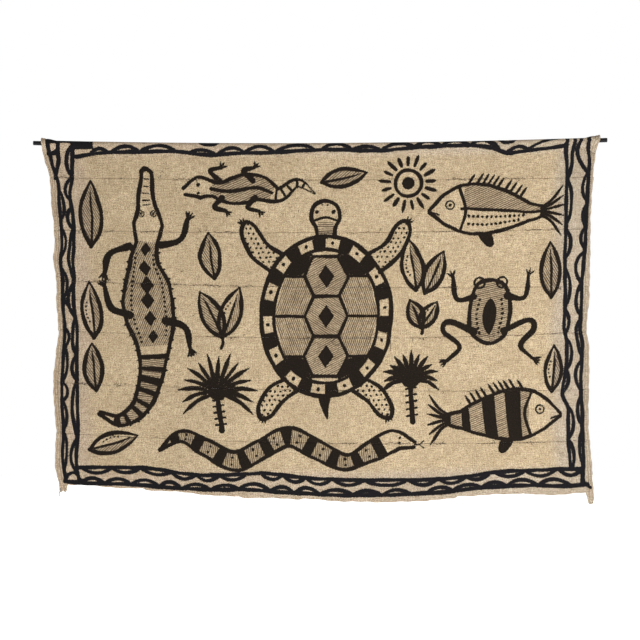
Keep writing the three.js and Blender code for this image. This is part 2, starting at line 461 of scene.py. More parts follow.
def border():
    b = np.arange(-38, 776, STROKE_STEP)
    outer = -EDGE + through([
        (-40, 13), (2, 14), (30, 16), (55, 14), (87, 18), (115, 19), (271, 17), (363, 15), (455, 17),
        (547, 21), (639, 18), (776, 19),
    ])(b)
    pair(np.stack([outer, b], 1), -1, [
        (150, 212, 8), (236, 296, 7), (328, 396, 8), (466, 506, 8.5), (508, 586, 8), (588, 630, 11),
        (632, 694, 7.5), (706, 784, 7.5),
    ], rail=8.8, wave=7.8)
    inner = -EDGE + through([
        (-40, 73), (0, 71), (30, 64), (55, 57), (87, 50), (115, 45), (156, 47), (213, 46), (271, 46),
        (328, 41), (386, 42), (443, 46), (501, 52), (558, 56), (616, 55), (673, 51), (780, 50),
    ])(b)
    pair(np.stack([inner, b], 1), 1, [
        (46, 116, 10.5), (120, 168, 9), (190, 236, 11), (242, 350, 8), (366, 440, 10), (446, 524, 9),
        (530, 584, 9), (590, 714, 10), (722, 796, 10),
    ])
    inner = EDGE - through([
        (-40, 77), (30, 67), (55, 62), (179, 58), (271, 59), (363, 57), (455, 52), (530, 55), (580, 63),
        (618, 48), (708, 51), (760, 50),
    ])(b)
    pair(np.stack([inner, b], 1)[b < 756], -1, [
        (-80, 122, 15), (132, 226, 10), (246, 306, 10), (334, 416, 9), (430, 480, 9), (496, 562, 9),
        (568, 616, 8), (658, 724, 10), (732, 800, 8),
    ])
    b = np.arange(-38, 792, STROKE_STEP)
    outer = EDGE - through([
        (-40, 27), (2, 24), (30, 16), (55, 11), (87, 12), (179, 10), (271, 15), (340, 19), (363, 19),
        (455, 15), (547, 20), (639, 15), (708, 17), (792, 25),
    ])(b)
    pair(np.stack([outer, b], 1), 1, [
        (14, 112, 21), (116, 176, 10), (188, 238, 6), (240, 286, 9), (298, 364, 15), (370, 440, 10),
        (454, 532, 9), (548, 610, 10), (630, 692, 8), (710, 784, 7),
    ])
    level_line(inner_foot, -556, 602, 10)
    arches(inner_foot, 1, [
        (-552, -484, 12.5), (-482, -420, 12), (-418, -346, 12), (-344, -290, 12.5), (-288, -238, 12),
        (-235, -175, 12), (-140, -92, 12.5), (-88, -40, 13.5), (-36, 18, 13), (28, 95, 12.5),
        (99, 196, 12.6), (200, 266, 12), (270, 330, 11.5), (333, 386, 11), (398, 465, 12),
        (468, 538, 14), (548, 598, 14),
    ])
    level_line(outer_foot, -590, 612, 10.4)
    arches(outer_foot, -1, [
        (-552, -500, 12), (-498, -440, 12), (-437, -376, 13.5), (-374, -325, 13), (-320, -256, 11.5),
        (-252, -192, 10.5), (-190, -120, 14), (-118, -66, 12.5), (-62, -8, 13.5), (-5, 70, 12),
        (72, 136, 10.5), (140, 204, 10.5), (243, 300, 11.5), (302, 365, 10.8), (368, 424, 11.2),
        (426, 495, 13.5), (497, 572, 15),
    ])
    level_line(inner_head, -562, 572, 9.8)
    arches(inner_head, -1, [
        (-528, -488, 10), (-480, -415, 13), (-412, -330, 13), (-300, -240, 9.8), (-236, -176, 13),
        (-173, -106, 14), (-102, -14, 14), (4, 73, 13), (75, 138, 10), (140, 214, 13.5),
        (216, 275, 13), (278, 342, 12), (344, 412, 14), (428, 477, 13),
    ], 9.2)
    for line, width in (
        ([(-603, -22), (-603, -10), (-603, 14), (-602, 32), (-604, 48), (-609, 72)], 9.4),
        ([(-626, -13), (-604, -14), (-585, -13), (-560, -11)], 9),
        ([(-624, 15), (-612, 13), (-606, 10)], 13),
        ([(478, 10), (500, -2), (524, -11), (548, -16)], 8),
        ([(404, -22), (416, -8), (430, -4), (444, -9), (456, -21)], 7.6),
        ([(-280, -14), (-268, -5), (-244, -5), (-232, -14)], 9),
        ([(-590, 766), (-582, 752), (-568, 748), (-554, 764)], 8),
        ([(604, 778), (610, 785), (617, 788)], 7),
        ([(-592, 348), (-586, 358), (-577, 371), (-566, 387)], 8),
    ):
        brush(BORDER_WAVE, painted(*smooth(line).T), width)
    block = straight([(-574, -26), (-522, -26), (-522, 5), (-574, 6), (-574, -26)])
    blot(painted(*block.T), BORDER_WAVE)
    for line, width in (([(-522, 2), (-522, 14)], 5), ([(-536, -28), (-470, -28)], 9)):
        brush(BORDER_WAVE, painted(*straight(line).T), width)


# Plants
def leaf(start, end, wide=25, inside="hatch"):
    """A leaf with a bold outline, a vein, and hatching or dots beside it."""
    start, end = np.array(start, float), np.array(end, float)
    way = end - start
    aside = np.array([-way[1], way[0]]) / np.linalg.norm(way)
    sides = []
    for side in (1, -1):
        side_line = smooth([
            start, start + way * 0.2 + aside * side * wide * 0.72,
            start + way * 0.48 + aside * side * wide, start + way * 0.78 + aside * side * wide * 0.6, end,
        ])
        brush(FIELD_LINE, side_line, BOLD, taper=(0.9, 0.45))
        sides.append(side_line)
    vein = smooth([start, start + way * 0.5 + aside * 2, start + way * 0.86])
    brush(FIELD_DETAIL, vein, 6.4, taper=(1, 0.4))
    turn = math.degrees(math.atan2(way[1], way[0]))
    if inside == "hatch":
        hatch(between(*sides), turn + 62, 4.6)
    else:
        hatch(between(sides[0], vein), turn + 62, 4.6)
        dots_along(lerp(sides[1][3:-4:2], (start + end) / 2, 0.42), 9.0, 2.5)


def twig(root, fork, tips, wide=24):
    bold([root, lerp(np.array(root), np.array(fork), 0.5) + (3, 0), fork], 8)
    for k, tip in enumerate(tips):
        leaf(fork, tip, wide, "dots" if k % 2 else "hatch")


def fan_palm(root, crown, reach, fronds=15, spread=118):
    """A trunk with a round of long tapering fronds."""
    crown = np.array(crown, float)
    bold([root, crown], 13, (1.2, 0.8))
    for rise in np.linspace(0.15, 0.8, 5):
        p = lerp(np.array(root, float), crown, rise)
        brush(FIELD_DETAIL, straight([p + (-12, 2), p + (12, -2)]), 5.4)
    for k, turn in enumerate(np.radians(np.linspace(-spread, spread, fronds))):
        way = np.array([math.sin(turn), -math.cos(turn)])
        droop = np.array([0, 1]) * abs(turn) * 4
        start, far = crown + way * 12, crown + way * reach * (1 - 0.1 * (k % 2)) + droop
        brush(FIELD_LINE, smooth([start, lerp(start, far, 0.5) - droop, far]), 10.5, (0.4, 0.35))
    blot(ring(*crown, 22, 19), FIELD_LINE)


# Animals, seen from above or from the side
def claws(at, way, length=15, spread=0.5, count=3, width=5.0):
    at, way = np.array(at, float), np.array(way, float)
    way /= np.linalg.norm(way)
    for turn in np.linspace(-spread, spread, count):
        c, s = math.cos(turn), math.sin(turn)
        out = np.array([way[0] * c - way[1] * s, way[0] * s + way[1] * c])
        brush(FIELD_LINE, straight([at, at + out * length]), width, (1, 0.4))


def tortoise(a, b):
    loop(ring(a, b, 152, 184)[:-1], 10.5)
    loop(ring(a, b, 122, 154)[:-1], 8.4)
    blocks = 28
    for k in range(blocks):
        start, end = 360 * k / blocks, 360 * (k + 1) / blocks
        if k % 2:
            outer, inner = ring(a, b, 149, 181, start, end, 4), ring(a, b, 124, 156, end, start, 4)
            blot(np.concatenate([outer, inner]))
        else:
            dot(*ring(a, b, 137, 169, start, end, 2)[1], radius=4.0)
    plate = [(-29, -46), (29, -46), (51, 0), (29, 46), (-29, 46), (-51, 0)]
    for rise in (-92, 0, 92):
        hexagon = about(a, b + rise, plate)
        brush(FIELD_LINE, straight([*hexagon, hexagon[0]]), 8.4)
        hatch(hexagon, 62 if rise else -58)
        diamond(a, b + rise, 19, 27)
    for side in (-1, 1):
        for rise, reach in ((-92, 98), (0, 120), (92, 98)):
            fine([(a + side * 51, b + rise), (a + side * reach, b + rise)])
        for high in (-1, 1):
            fine([(a + side * 29, b + high * 138), (a + side * 37, b + high * 147)])
            plate_beside = [(51, 2), (29, 46), (51, 90), (97, 90), (120, 2)]
            hatch(about(a, b, plate_beside, side, high), 20 * side * high)
            dark_plate = [(52, 98), (92, 98), (66, 128), (38, 142), (34, 134)]
            blot(smooth(about(a, b, dark_plate, side, high), closed=True))
    neck = [(-20, -182), (-22, -204), (-33, -226), (-25, -254), (0, -266),
            (26, -254), (33, -227), (22, -204), (21, -182)]
    bold(about(a, b, neck))
    for side in (-1, 1):
        dot(a + side * 19, b - 240, 4.4)
        dot(a + side * 6, b - 256, 2.2)
    hatch(about(a, b, [(-18, -218), (18, -218), (20, -186), (-20, -186)]), 90, 5)
    fine(about(a, b, [(-26, -220), (0, -228), (26, -220)]), 6)
    for side in (-1, 1):
        fore = [(98, -142), (136, -166), (164, -208), (186, -216), (194, -188), (170, -138), (124, -100)]
        hind = [(92, 144), (130, 166), (154, 206), (150, 234), (126, 228), (98, 196), (62, 170)]
        for limb in (fore, hind):
            outline = smooth(about(a, b, limb, side))
            brush(FIELD_LINE, outline, BOLD)
            spots(outline, 12)
        claws((a + side * 187, b - 210), (side * 0.8, -1), 18)
        claws((a + side * 142, b + 230), (side * 0.4, 1), 17)
    tail = [(-13, 184), (-10, 208), (5, 238), (9, 206), (13, 184)]
    blot(smooth(about(a, b, tail), closed=True), FIELD_LINE)


def crocodile(a, b):
    spine = smooth(about(a, b, [
        (4, 0), (0, 54), (2, 96), (-2, 140), (-8, 216), (-4, 312), (8, 400), (8, 470), (-18, 540),
        (-66, 572), (-112, 556),
    ]))
    sides = beside(spine, [11, 15, 20, 33, 24, 32, 50, 58, 55, 40, 30, 25, 21, 16, 10, 3])
    for side, line in zip((-1, 1), sides):
        brush(FIELD_LINE, line, BOLD)
        out = -aside_of(line) if side < 0 else aside_of(line)
        for share in np.arange(0.30, 0.95, 0.034):
            i = int(share * (len(line) - 2))
            tip = line[i] + out[i] * (13 - 5 * share)
            blot([line[max(i - 1, 0)], tip, line[i + 1]])
    left, right = sides
    bold([left[0], spine[0] + (0, -8), right[0]])
    hatch(between(left, right, 0.26, 0.62), 24)
    back = part_of(spine, 0.26, 0.62)
    count = 6
    for k in range(count):
        size = 23 - 2.6 * abs(k - 2.4)
        diamond(*back[int((k + 0.5) / count * (len(back) - 1))], size * 0.76, size)
    for line in (lerp(left, right, 0.16), lerp(left, right, 0.84)):
        dots_along(part_of(line, 0.30, 0.60), 11)
    for k, share in enumerate(np.linspace(0.65, 0.93, 8)):
        i, j = (int(s * (len(spine) - 1)) for s in (share, share + 0.018))
        blot([left[i], left[j], right[j], right[i]])
    hatch(between(left, right, 0.64, 0.94), 96)
    for share in np.linspace(0.03, 0.13, 5):
        i = int(share * (len(spine) - 1))
        fine([lerp(left[i], right[i], 0.28), lerp(left[i], right[i], 0.72)], 4.0)
    for side in (-1, 1):
        eye(a + side * 14, b + 96, 7, 3.4, 2.6)
    for limb, way in (
        ([(34, 168), (78, 154), (96, 110)], (0.5, -1)), ([(-40, 172), (-82, 188), (-98, 232)], (-0.3, 1)),
        ([(38, 342), (84, 356), (98, 404)], (0.4, 1)), ([(-44, 330), (-86, 314), (-100, 268)], (-0.5, -1)),
    ):
        line = smooth(about(a - 4, b, limb))
        brush(FIELD_LINE, line, 15, (1.3, 0.72))
        claws(line[-1], way, 22, 0.55, 4, 5.4)


def fish(a, b, facing, banded):
    """A fish from the side; facing is -1 to the left and 1 to the right."""
    spine = smooth(about(a, b, [(146, 0), (66, -5), (-10, 0), (-84, 6), (-116, 4)], facing))
    top, under = beside(spine, [3, 33, 51, 58, 56, 47, 33, 19, 12])
    if top[len(top) // 2][1] > under[len(under) // 2][1]:
        top, under = under, top
    for line in (top, under):
        brush(FIELD_LINE, line, 8.8)
    i = int(len(spine) * 0.27)
    bold([top[i], spine[i] + (-facing * 15, 0), under[i]], 7.4)
    eye(a + facing * 98, b - 14, 9.5, 4.4, 3.4)
    fine(about(a, b, [(146, 0), (124, 8)], facing), 4.6)
    if banded:
        for start, end in ((0.36, 0.47), (0.57, 0.67), (0.77, 0.86)):
            blot(between(top, under, start, end))
        for start, end in ((0.29, 0.36), (0.47, 0.57), (0.67, 0.77), (0.86, 0.98)):
            hatch(between(top, under, start, end), 68 * facing)
    else:
        fine(part_of(spine, 0.28, 0.98))
        hatch(between(top, spine, 0.3), 66)
        for depth in (0.3, 0.62):
            dots_along(part_of(lerp(spine, under, depth), 0.32, 0.9 - depth * 0.2), 10.5, 3.2)
    root = np.array((a - facing * 112, b + 4))
    for k, rise in enumerate((-56, -34, -12, 12, 34, 58)):
        tip = root + (-facing * (52 - abs(rise) * 0.1), rise)
        line = smooth([root + (0, rise * 0.16), root + (-facing * 22, rise * 0.42), tip])
        brush(FIELD_LINE if k % 2 else FIELD_DETAIL, line, 8.0, (0.9, 0.5))
    for share in np.linspace(0.34, 0.76, 10):
        p = top[int(len(top) * share)]
        brush(FIELD_LINE, straight([p, p + (-facing * 15, -23)]), 6.4, (1, 0.45))
    fin = about(*under[int(len(under) * 0.44)], [(0, 0), (-22, 30), (-38, 26), (-30, 0)], facing)
    blot(smooth(fin, closed=True), FIELD_LINE)


def frog(a, b):
    body = [(0, -76), (30, -66), (43, -36), (47, 8), (37, 50), (0, 70), (-37, 50), (-47, 8), (-43, -36),
            (-30, -66)]
    outline = smooth(about(a, b, body), closed=True)
    brush(FIELD_LINE, outline, BOLD)
    hatch(outline, 78)
    back = [(0, -34), (15, -10), (14, 24), (0, 50), (-14, 24), (-15, -10)]
    blot(smooth(about(a, b, back), closed=True))
    for side in (-1, 1):
        dots_along(smooth(about(a, b, [(24, -36), (30, 6), (22, 46)], side)), 11, 3.2)
        eye(a + side * 26, b - 70, 12, 5.4, 4, FIELD_LINE)
        fore = smooth(about(a, b, [(38, -38), (78, -34), (88, -84)], side))
        brush(FIELD_LINE, fore, 12, (1.3, 0.75))
        claws(fore[-1], (side * 0.3, -1), 18, 0.6)
        hind = smooth(about(a, b, [(34, 42), (94, 18), (106, 40), (70, 76), (98, 106)], side))
        brush(FIELD_LINE, hind, 13, (1.3, 0.7))
        claws(hind[-1], (side * 1, 0.5), 21, 0.5, 4)


def snake(a, b):
    spine = smooth(about(a, b, [
        (-300, 8), (-250, -24), (-190, 2), (-128, 32), (-64, 4), (0, -24), (64, 6), (128, 34), (190, 10),
        (244, -14), (290, -4),
    ]))
    left, right = beside(spine, [1, 11, 17, 19, 21, 21, 21, 21, 21, 19, 15, 23, 24, 6])
    brush(FIELD_LINE, left, 9)
    brush(FIELD_LINE, right, 9)
    count = 19
    for k in range(count):
        i = int(lerp(0.05, 0.85, k / (count - 1)) * (len(spine) - 1))
        j = min(i + 4, len(spine) - 1)
        if k % 2:
            for share in (0.3, 0.7):
                dot(*lerp(left[(i + j) // 2], right[(i + j) // 2], share), 3.0)
        else:
            blot([left[i], left[j], right[j], right[i]])
    hatch(between(left, right, 0.05, 0.84), 8)
    for share in (0.34, 0.66):
        dot(*lerp(left[-7], right[-7], share), 3.4)
    tip = spine[-1]
    for rise in (-10, 10):
        fine([tip, tip + (11, 1), tip + (22, rise * 0.8)], 4.0)


def sun(a, b):
    loop(ring(a, b, 30, 30, count=12)[:-1], 9)
    blot(ring(a, b, 15, 15, count=12))
    count = 17
    for k in range(count):
        turn = 2 * math.pi * k / count
        way = np.array([math.sin(turn), -math.cos(turn)])
        ray = straight([way * 42 + (a, b), way * (62 + 6 * (k % 2)) + (a, b)])
        brush(FIELD_DETAIL, ray, 9.4, (0.8, 0.4))


def lizard(a, b):
    """A lizard across the cloth, its head to the left."""
    spine = smooth(about(a, b, [
        (-124, 6), (-84, -4), (-26, 5), (42, -4), (92, 12), (134, -14), (176, 10),
    ]))
    left, right = beside(spine, [8, 24, 15, 29, 33, 26, 15, 11, 7, 1])
    brush(FIELD_LINE, left, 9, (1, 0.4))
    brush(FIELD_LINE, right, 9, (1, 0.4))
    hatch(between(left, right, 0.2, 0.62), 66, 4.6)
    fine(part_of(spine, 0.2, 0.62), 9)
    for share in np.linspace(0.66, 0.88, 5):
        i = int(share * len(spine))
        fine([left[i], right[i]], 6.4)
    for rise in (-10, 9):
        dot(a - 92, b + rise, 3.8)
    for at, side in ((-44, -1), (-38, 1), (32, -1), (38, 1)):
        limb = smooth([(a + at, b + side * 20), (a + at - 18, b + side * 42), (a + at + 8, b + side * 50)])
        brush(FIELD_LINE, limb, 11.5, (1.2, 0.8))
        claws(limb[-1], (0.7, side * 0.8), 15, 0.6)


def field():
    """The painted scene: plain animals and plants, set out freely."""
    tortoise(8, 392)
    crocodile(-402, 62)
    fish(393, 154, -1, banded=False)
    frog(389, 390)
    fish(408, 628, 1, banded=True)
    snake(-78, 693)
    lizard(-190, 100)
    sun(198, 88)
    fan_palm((-234, 654), (-240, 566), 92)
    fan_palm((210, 636), (206, 540), 68, 13, 104)
    twig((-236, 466), (-234, 440), [(-286, 336), (-194, 326)])
    leaf((-252, 306), (-264, 200), 23)
    leaf((216, 334), (200, 218), 25, "dots")
    leaf((236, 342), (282, 246), 21)
    twig((232, 434), (230, 420), [(202, 356), (266, 362)], 18)
    leaf((0, 84), (104, 62), 20)
    leaf((-534, 236), (-528, 84), 24)
    leaf((-534, 446), (-543, 316), 22, "dots")
    leaf((-520, 566), (-538, 458), 21)
    leaf((530, 358), (526, 230), 22)
    leaf((533, 574), (539, 468), 19, "dots")
    leaf((-540, 702), (-430, 668), 22, "dots")


border()
field()


def paint(a, b):
    """Distances in millimetres from every place to the ink of each layer and to the hatching."""
    ink = np.full((4, len(a)), FAR)
    inside_hatch = np.full(len(a), FAR)
    phase = np.zeros(len(a))
    place = np.stack([a, b], 1)

    def near(points, reach):
        low, high = points.min(0) - reach, points.max(0) + reach
        return np.nonzero(((place > low) & (place < high)).all(1))[0]

    def from_line(line, half, at):
        start, way = line[:-1], np.diff(line, axis=0)
        offset = place[at][:, None] - start[None]
        t = np.clip((offset * way).sum(2) / np.maximum((way ** 2).sum(1), 1e-9), 0, 1)
        apart = np.linalg.norm(offset - t[..., None] * way, axis=2)
        return (apart - lerp(half[:-1], half[1:], t)).min(1)

    def from_outline(outline, at):
        closed = np.concatenate([outline, outline[:1]])
        distance = from_line(closed, np.zeros(len(closed)), at)
        return np.where(within(outline, *place[at].T), -distance, distance)

    chunk = 14
    for layer, line, half in marks:
        if half is None:
            at = near(line, FAR)
            if len(at):
                ink[layer, at] = np.minimum(ink[layer, at], from_outline(line, at))
            continue
        for i in range(0, len(line) - 1, chunk):
            part, wide = line[i:i + chunk + 1], half[i:i + chunk + 1]
            at = near(part, FAR + wide.max())
            if len(at):
                ink[layer, at] = np.minimum(ink[layer, at], from_line(part, wide, at))
    for outline, angle, pitch in hatches:
        at = near(outline, 2 * GRID)
        if not len(at):
            continue
        distance = from_outline(outline, at)
        closer = distance < inside_hatch[at]
        at, distance = at[closer], distance[closer]
        inside_hatch[at] = distance
        turned = place[at] @ np.array([math.cos(angle), math.sin(angle)])
        phase[at] = turned / pitch
    return np.clip(ink, -FAR, FAR), np.clip(inside_hatch, -FAR, FAR), phase


# Small helpers for meshes, materials and nodes
def deselect():
    bpy.ops.object.select_all(action="DESELECT")


def read(owner, name, width=1, kind=float):
    """One value, or width of them, for every part of a mesh."""
    values = np.empty(len(owner) * width, kind)
    owner.foreach_get(name, values)
    return values.reshape(-1, width) if width > 1 else values


def give_look(piece, *looks):
    piece.data.materials.clear()
    for look in looks:
        piece.data.materials.append(look)


def new_look(name):
    look = bpy.data.materials.new(name)
    look.use_nodes = True
    look.node_tree.nodes.clear()
    return look


class Nodes:
    """Adds shader nodes to one material, or to the world, with few words."""

    def __init__(self, look):
        self.tree = look.node_tree

    def add(self, kind, settings=None, **inputs):
        node = self.tree.nodes.new("ShaderNode" + kind)
        for name, value in (settings or {}).items():
            setattr(node, name, value)
        for name, value in inputs.items():
            self.put(node.inputs[name.replace("_", " ")], value)
        return node

    def put(self, socket, value):
        if isinstance(value, bpy.types.NodeSocket):
            self.tree.links.new(value, socket)
        else:
            socket.default_value = value

    def math(self, operation, *values):
        node = self.tree.nodes.new("ShaderNodeMath")
        node.operation = operation
        for socket, value in zip(node.inputs, values):
            self.put(socket, value)
        return node.outputs[0]

    def vector(self, operation, *values):
        node = self.tree.nodes.new("ShaderNodeVectorMath")
        node.operation = operation
        for socket, value in zip(node.inputs, values):
            self.put(socket, value)
        return node.outputs[0]

    def mix(self, share, first, second, blend="MIX"):
        node = self.tree.nodes.new("ShaderNodeMix")
        node.data_type = "RGBA"
        node.blend_type = blend
        self.put(node.inputs[0], share)
        self.put(node.inputs[6], first)
        self.put(node.inputs[7], second)
        return node.outputs[2]

    def ramp(self, value, low, high, to_low=0.0, to_high=1.0, smoothly=True):
        node = self.tree.nodes.new("ShaderNodeMapRange")
        node.interpolation_type = "SMOOTHSTEP" if smoothly else "LINEAR"
        for socket, given in zip(node.inputs, (value, low, high, to_low, to_high)):
            self.put(socket, given)
        return node.outputs[0]

    def noise(self, place, detail=2.0, rough=0.5):
        node = self.add("TexNoise", Vector=place, Scale=1.0, Detail=detail, Roughness=rough)
        return node.outputs[0]

    def stretch(self, place, x, y, z=0.0):
        return self.vector("MULTIPLY", place, (x, y, z))

    def attribute(self, name, output="Fac"):
        return self.add("Attribute", {"attribute_name": name}).outputs[output]

    def finish(self, colour, roughness, relief, **more):
        """The surface and its output; relief is strength, depth in metres and height."""
        strength, depth, height = relief
        bump = self.add("Bump", Strength=strength, Distance=depth, Height=height)
        surface = self.add(
            "BsdfPrincipled", Base_Color=colour, Roughness=roughness, Normal=bump.outputs[0], **more)
        self.add("OutputMaterial", Surface=surface.outputs[0])


# Colours, worn paint, painted shade and the pitch of the weave
PLAIN = (0.470, 0.362, 0.226, 1)
PALE = (0.705, 0.586, 0.400, 1)
# A dull tone of the yarn; the same colour is also painted as shade between the threads
DULL_AND_WEAVE_SHADE = (0.262, 0.188, 0.104, 1)
# Dark flecks of the grain; the same colour is also painted as shade in the hem's creases
FLECK_AND_CREASE_SHADE = (0.160, 0.106, 0.057, 1)
PINKISH = (0.450, 0.270, 0.190, 1)
GREENISH = (0.420, 0.372, 0.220, 1)
YELLOWISH = (0.500, 0.385, 0.195, 1)
GREYISH = (0.450, 0.365, 0.275, 1)
HANDLED_LEFT = (0.985, 0.985, 1.10, 1)
HANDLED_RIGHT = (0.89, 0.94, 1.10, 1)
BORDER_INK = (0.0082, 0.0074, 0.0082, 1)
WORN_BORDER = (0.024, 0.023, 0.027, 1)
FIELD_INK = (0.0112, 0.0078, 0.0055, 1)
WORN_INK = (0.036, 0.027, 0.020, 1)
HATCH_INK = (0.060, 0.040, 0.027, 1)
STAIN = (0.20, 0.105, 0.052, 1)
BLACK = (0.0024, 0.0025, 0.0048, 1)
DUSTY_BLACK = (0.0075, 0.0078, 0.012, 1)
BARE_STEEL = (0.16, 0.155, 0.15, 1)
RUBBED_END = 1.5  # how far in from the rod's ends the paint is rubbed
WARP_PITCH = 1.25
WEFT_PITCH = 1.35


def cloth_look(name, soaked):
    """Handspun cotton with its paint; soaked is how much of the paint this side shows."""
    look = new_look(name)
    n = Nodes(look)
    flat = n.attribute("flat", "Vector")
    wander = n.noise(n.stretch(flat, 0.10, 0.10), 1.0)
    apart = n.add("SeparateXYZ", Vector=flat)
    across, down = apart.outputs[0], apart.outputs[1]
    warp_wave = n.math("MULTIPLY_ADD", wander, 2.2, n.math("MULTIPLY", down, math.pi / WARP_PITCH))
    weft_wave = n.math("MULTIPLY_ADD", wander, 2.6, n.math("MULTIPLY", across, math.pi / WEFT_PITCH))
    over = n.math("MULTIPLY", n.math("SINE", warp_wave), n.math("SINE", weft_wave))
    warp_slub = n.noise(n.stretch(flat, 0.050, 0.42), 1.5, 0.6)
    weft_slub = n.noise(n.stretch(flat, 0.40, 0.066, 1.0), 1.5, 0.6)
    grain = n.noise(n.stretch(flat, 0.50, 0.54), 1.5, 0.6)
    hue = n.noise(n.vector("ADD", n.stretch(flat, 0.34, 0.30), (90.0, 31.0, 0.0)), 1.0)
    patch = n.noise(n.stretch(flat, 0.009, 0.011), 3.0, 0.6)
    cloud = n.noise(n.stretch(flat, 0.055, 0.075), 2.0, 0.6)

    colour = n.mix(n.ramp(warp_slub, 0.36, 0.60), DULL_AND_WEAVE_SHADE, PLAIN)
    colour = n.mix(n.ramp(weft_slub, 0.48, 0.68, 0, 0.70), colour, PALE)
    colour = n.mix(n.ramp(cloud, 0.48, 0.30, 0, 0.24), colour, DULL_AND_WEAVE_SHADE)
    colour = n.mix(n.ramp(cloud, 0.52, 0.70, 0, 0.20), colour, PALE)
    colour = n.mix(n.ramp(grain, 0.48, 0.30, 0, 0.96), colour, FLECK_AND_CREASE_SHADE)
    colour = n.mix(n.ramp(grain, 0.51, 0.66, 0, 1), colour, PALE)
    colour = n.mix(n.ramp(hue, 0.52, 0.68, 0, 0.70), colour, PINKISH, "COLOR")
    colour = n.mix(n.ramp(hue, 0.48, 0.32, 0, 0.70), colour, GREENISH, "COLOR")
    tint = n.noise(n.vector("ADD", n.stretch(flat, 0.40, 0.37), (12.0, 80.0, 0.0)), 1.0)
    colour = n.mix(n.ramp(tint, 0.50, 0.68, 0, 0.64), colour, YELLOWISH, "COLOR")
    colour = n.mix(n.ramp(tint, 0.50, 0.32, 0, 0.55), colour, GREYISH, "COLOR")
    colour = n.mix(n.ramp(patch, 0.38, 0.62, 0, 0.22), colour, DULL_AND_WEAVE_SHADE)
    # Painted shade between the threads: the cloth is darkened where the weave's bump is low
    shade_between_threads = n.ramp(over, -1, 1, 0.16, 0, smoothly=False)
    colour = n.mix(shade_between_threads, colour, DULL_AND_WEAVE_SHADE)
    speck = n.noise(n.vector("ADD", n.stretch(flat, 0.21, 0.33), (40.0, 7.0, 0.0)), 1.0)
    colour = n.mix(n.ramp(speck, 0.745, 0.80, 0, 0.7), colour, STAIN)
    inward = n.math("SUBTRACT", EDGE, n.math("ABSOLUTE", across))
    low_and_high = n.math("MAXIMUM", n.ramp(down, 735, 765), n.ramp(down, 36, 10))
    border_zone = n.math("MAXIMUM", n.ramp(inward, 105, 65), low_and_high)
    handled = n.mix(n.ramp(across, -EDGE, EDGE), HANDLED_LEFT, HANDLED_RIGHT)
    colour = n.mix(border_zone, colour, handled, "MULTIPLY")
    # Painted shade: two thin darker lines inward of each side edge, along the hem's crease and the edge of
    # its roll, where shade falls
    for at, wide, strong in ((HEM_WIDTH + 1.2, 1.7, 0.62), (ROLL_WIDTH + 0.5, 1.4, 0.5)):
        off = n.math("ABSOLUTE", n.math("SUBTRACT", inward, at))
        shade = n.math("MULTIPLY", n.ramp(off, 0, wide, strong, 0), n.ramp(warp_slub, 0.35, 0.6, 0.5, 1))
        colour = n.mix(shade, colour, FLECK_AND_CREASE_SHADE)

    frayed = n.math("MULTIPLY_ADD", grain, 4.4, -2.2)
    frayed = n.math("MULTIPLY_ADD", over, 0.3, frayed)
    blur = 0.5 if soaked == 1 else 1.7

    def inked(first, second):
        distance = n.math("MINIMUM", n.attribute(first), n.attribute(second))
        return n.ramp(n.math("ADD", distance, frayed), -blur, blur, 1, 0)

    border_ink, field_ink = inked("ink_1", "ink_2"), inked("ink_3", "ink_4")
    phase = n.math("MULTIPLY_ADD", wander, 0.5, n.attribute("phase"))
    stripe = n.math("ABSOLUTE", n.math("SUBTRACT", n.math("FRACT", phase), 0.5))
    uneven = n.noise(n.add("CombineXYZ", X=n.math("MULTIPLY", phase, 0.9), Y=n.math(
        "MULTIPLY", down, 0.03)).outputs[0], 1.0)
    width = n.math("MULTIPLY_ADD", uneven, 0.55, -0.06)
    hatch_line = n.ramp(n.math("SUBTRACT", stripe, width), -0.12, 0.12, 1, 0)
    inside = n.ramp(n.attribute("hatch"), -0.6, 0.6, 1, 0)
    hatch_ink = n.math("MULTIPLY", n.ramp(hatch_line, 0, 1, 0.17, 0.94, smoothly=False), inside)

    worn = n.ramp(n.math("ADD", n.math("MULTIPLY", over, 0.12), grain), 0.52, 0.80, 0, 0.75)
    border_colour = n.mix(worn, BORDER_INK, WORN_BORDER)
    field_colour = n.mix(worn, FIELD_INK, WORN_INK)
    colour = n.mix(n.math("MULTIPLY", hatch_ink, soaked), colour, HATCH_INK)
    dense = n.ramp(grain, 0.75, 0.30, soaked * 0.75, soaked) if soaked < 1 else 1.0
    colour = n.mix(n.math("MULTIPLY", field_ink, dense), colour, field_colour)
    colour = n.mix(n.math("MULTIPLY", border_ink, dense), colour, border_colour)

    height = n.math("MULTIPLY_ADD", over, 0.22, n.math("MULTIPLY", warp_slub, 0.55))
    height = n.math("MULTIPLY_ADD", weft_slub, 0.55, height)
    height = n.math("MULTIPLY_ADD", grain, 0.35, height)
    n.finish(colour, 0.92, (0.55, 0.0011, height), Specular_IOR_Level=0.06, Sheen_Weight=0.03,
             Sheen_Roughness=0.5)
    return look


def thread_look(name, light, dark):
    """Twisted cotton thread."""
    look = new_look(name)
    n = Nodes(look)
    place = n.add("TexCoord").outputs["Object"]
    fibre = n.noise(n.stretch(place, 1400, 1400, 2600), 2.0, 0.6)
    patch = n.noise(n.stretch(place, 90, 90, 90), 1.0)
    colour = n.mix(n.ramp(fibre, 0.35, 0.65), dark, light)
    colour = n.mix(n.ramp(patch, 0.45, 0.7, 0, 0.5), colour, dark)
    n.finish(colour, 0.9, (0.5, 0.0002, fibre), Specular_IOR_Level=0.15)
    return look


